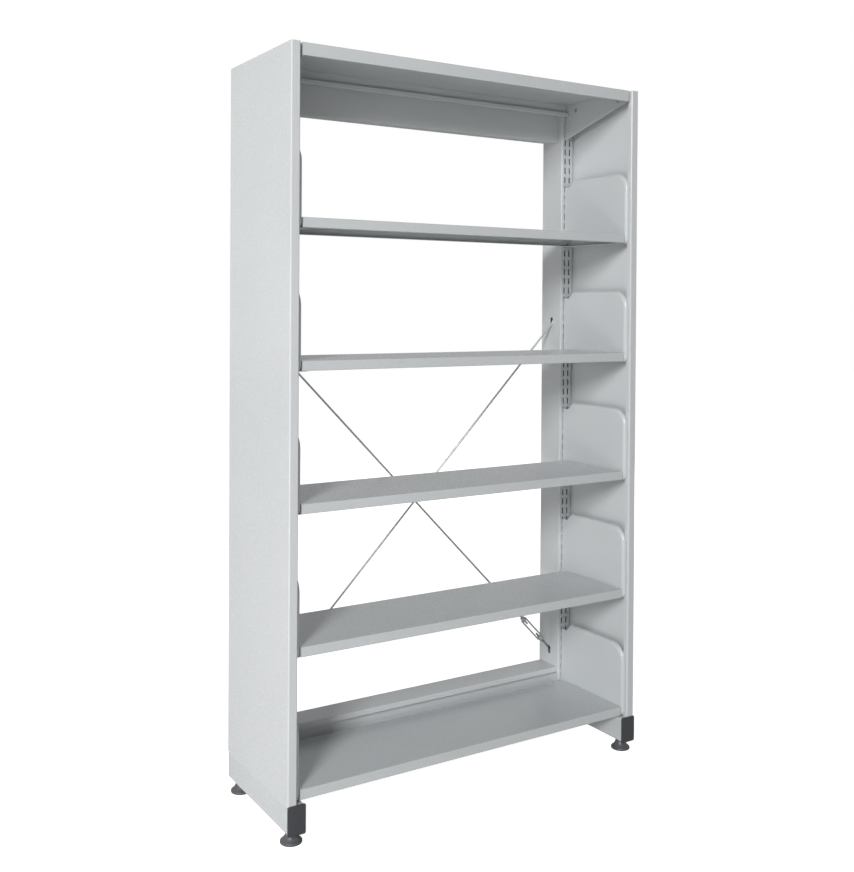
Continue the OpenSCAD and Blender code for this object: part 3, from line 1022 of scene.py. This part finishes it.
@dataclass
class CanopyScrews(Piece):
    """Four pan-head screws with cross recesses, two through each canopy bracket.

    Attributes:
        head: Diameter of the head.
        rise: Height of the head.
        brim: Angle at which the head's rounding starts, in degrees.
        dome: Shares of the head's radius and height that are rounded.
        dome_steps: Steps in that rounding.
        shank: Diameter of the shank.
        recess: Span of the cross recess.
        blade: Width of each of its arms.
        depth: Depth of the recess.
        arm: Where one arm of each recess points.
    """

    head: float = 10.4 * MM
    rise: float = 2.4 * MM
    brim: float = 15.0
    dome: tuple[float, float] = (0.55, 0.85)
    dome_steps: int = 6
    shank: float = 4.0 * MM
    recess: float = 5.2 * MM
    blade: float = 1.3 * MM
    depth: float = 1.3 * MM
    arm: tuple[float, float, float] = (0.0, 0.8, 0.6)

    def model(self, length: float) -> bpy.types.Object:
        """Builds one screw with its head's top on +z and its seat on z = 0.

        Args:
            length: The shank's length.

        Returns:
            The screw.
        """
        radius = self.head / 2
        across, up = self.dome
        rings = [(self.shank / 2, -length), (self.shank / 2, 0), (radius, 0)]
        for step in range(self.dome_steps + 1):
            angle = math.radians(self.brim + (90 - self.brim) * step / self.dome_steps)
            wide = radius * (1 - across + across * math.cos(angle))
            rings.append((wide, self.rise * (1 - up + up * math.sin(angle))))
        screw = lathe("screw_model", rings, SMALL_ROUND)
        for size in ((self.recess, self.blade), (self.blade, self.recess)):
            carve(screw, block("recess", (*size, 2 * self.depth), (0, 0, self.rise)))
        close_mesh(screw)
        return screw

    def build(self) -> None:
        """Builds the four screws as one piece."""
        low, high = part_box("canopy_screws")
        radius, middle = (high.z - low.z) / 2, (high.z + low.z) / 2
        seat = abs(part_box("canopy_bracket_right")[0].x)
        model = self.model(high.x - seat)
        screws = []
        for side in (-1, 1):
            for y in (low.y + radius, high.y - radius):
                screw = twin(model, "canopy_screws_dressed")
                at = Vector((side * seat, y, middle))
                screws.append(place(screw, axes(Vector((-side, 0, 0)), Vector(self.arm), at)))
        bpy.data.objects.remove(model)
        self.hand_over(join(screws), "frame", "brass_plate", ["canopy_screws"])


@dataclass(frozen=True)
class Lamp:
    """An area lamp with a rectangular face.

    Attributes:
        name: The lamp's name.
        at: The middle of its face in metres.
        aim: The direction in which it shines.
        size: Width and height of its face.
        watts: Its power.
        mirrored: Whether the coat shows its mirror image.
    """

    name: str
    at: tuple[float, float, float]
    aim: tuple[float, float, float]
    size: tuple[float, float]
    watts: float
    mirrored: bool = False

    def build(self) -> None:
        """Adds the lamp."""
        data = bpy.data.lights.new(self.name, "AREA")
        data.shape = "RECTANGLE"
        data.size, data.size_y = self.size
        data.energy = self.watts
        lamp = bpy.data.objects.new(self.name, data)
        lamp.location = self.at
        lamp.rotation_euler = Vector(self.aim).to_track_quat("-Z", "Y").to_euler()
        lamp.visible_glossy = self.mirrored
        bpy.context.scene.collection.objects.link(lamp)


# The key is the only lamp with a mirror image: the soft ones would leave white patches.
# Low stands in for light that a paper sweep throws back, rear for a pale room behind.
LAMPS = (
    Lamp("key", (-5.45, -5.2, 3.7), (5.45, 5.2, -2.9), (1.5, 2.1), 442.0, mirrored=True),
    Lamp("fill", (-2.7, 0.5, 0.4), (1.0, 0.0, -0.05), (1.8, 2.0), 24.0),
    Lamp("low", (-1.7, -1.7, 0.2), (0.6, 1.0, 0.3), (1.4, 0.35), 8.0),
    Lamp("rear", (3.8, 3.4, 1.9), (-3.8, -3.4, -1.1), (2.6, 2.0), 55.0),
)


@dataclass
class Studio:
    """A white floor, an even sky, the lamps and the photograph's camera.

    Attributes:
        camera_at: The camera's place in metres.
        camera_turn: The camera's XYZ Euler angles in degrees.
        lens_mm: Focal length.
        sensor_mm: Size of the sensor along the frame's longer side.
        shift: The lens shift in parts of that side; it keeps the verticals parallel.
        sky: Brightness of the even light from all round.
        mirrored: Brightness of the white surroundings in reflections.
        floor_size: Side of the square floor.
        paper: The floor paper's linear colour.
        glow: The light that the paper adds for the camera, so that it reads white.
    """

    camera_at: tuple[float, float, float] = (-1.42503, -2.20438, 1.14679)
    camera_turn: tuple[float, float, float] = (89.40748, -0.36621, -31.97391)
    lens_mm: float = 43.873
    sensor_mm: float = 36.0
    shift: tuple[float, float] = (0.002072, -0.137644)
    sky: float = 0.15
    mirrored: float = 0.5
    floor_size: float = 30.0
    paper: tuple[float, float, float, float] = (0.69, 0.68, 0.66, 1.0)
    glow: float = 0.92

    def build(self) -> None:
        """Builds the camera, the world, the lamps and the floor."""
        self.add_camera()
        self.add_world()
        for lamp in LAMPS:
            lamp.build()
        self.add_floor()
        bpy.context.scene.view_settings.view_transform = "Standard"

    def add_camera(self) -> None:
        """Adds the camera."""
        data = bpy.data.cameras.new("camera")
        data.lens = self.lens_mm
        data.sensor_width = self.sensor_mm
        data.sensor_fit = "AUTO"
        data.shift_x, data.shift_y = self.shift
        camera = bpy.data.objects.new("camera", data)
        camera.location = self.camera_at
        camera.rotation_euler = [math.radians(a) for a in self.camera_turn]
        bpy.context.scene.collection.objects.link(camera)
        bpy.context.scene.camera = camera

    def add_world(self) -> None:
        """Sets an even sky that is white to the camera and grey in reflections."""
        world = bpy.data.worlds.new("studio")
        bpy.context.scene.world = world
        world.use_nodes = True
        tree = world.node_tree
        tree.nodes.clear()
        path = add_node(tree, "ShaderNodeLightPath", {}).outputs
        glossy = combine(tree, "MULTIPLY", path["Is Glossy Ray"], self.mirrored)
        seen = combine(tree, "MAXIMUM", path["Is Camera Ray"], glossy)
        level = combine(tree, "MAXIMUM", seen, self.sky)
        light = add_node(tree, "ShaderNodeBackground", {"Color": WHITE, "Strength": level})
        add_node(tree, "ShaderNodeOutputWorld", {"Surface": light.outputs[0]})

    def add_floor(self) -> None:
        """Adds a floor that reads as white paper and keeps a light shadow."""
        deselect()
        bpy.ops.mesh.primitive_plane_add(size=self.floor_size)
        floor = bpy.context.object
        floor.name = "floor"
        material, tree = empty_material("white_paper")
        path = add_node(tree, "ShaderNodeLightPath", {}).outputs
        share = combine(tree, "MULTIPLY", path["Is Camera Ray"], self.glow)
        paper = add_node(tree, "ShaderNodeBsdfDiffuse", {"Color": self.paper})
        glow = add_node(tree, "ShaderNodeEmission", {"Color": WHITE, "Strength": share})
        inputs = {0: paper.outputs[0], 1: glow.outputs[0]}
        both = add_node(tree, "ShaderNodeAddShader", inputs)
        add_node(tree, "ShaderNodeOutputMaterial", {"Surface": both.outputs[0]})
        floor.data.materials.append(material)


def main() -> None:
    """Builds the dressed bay."""
    logging.basicConfig(level=logging.INFO, format="%(name)s: %(message)s")
    finishes = Finishes()
    finishes.dress()
    log.info("finishes on %d nodes", len(frame["nodes"]))
    for kind in (LevellingFoot, LegCap, BraceRod, CanopyScrews):
        kind(finishes).build()
    Studio().build()
    log.info("studio built")


if __name__ == "__main__":
    main()
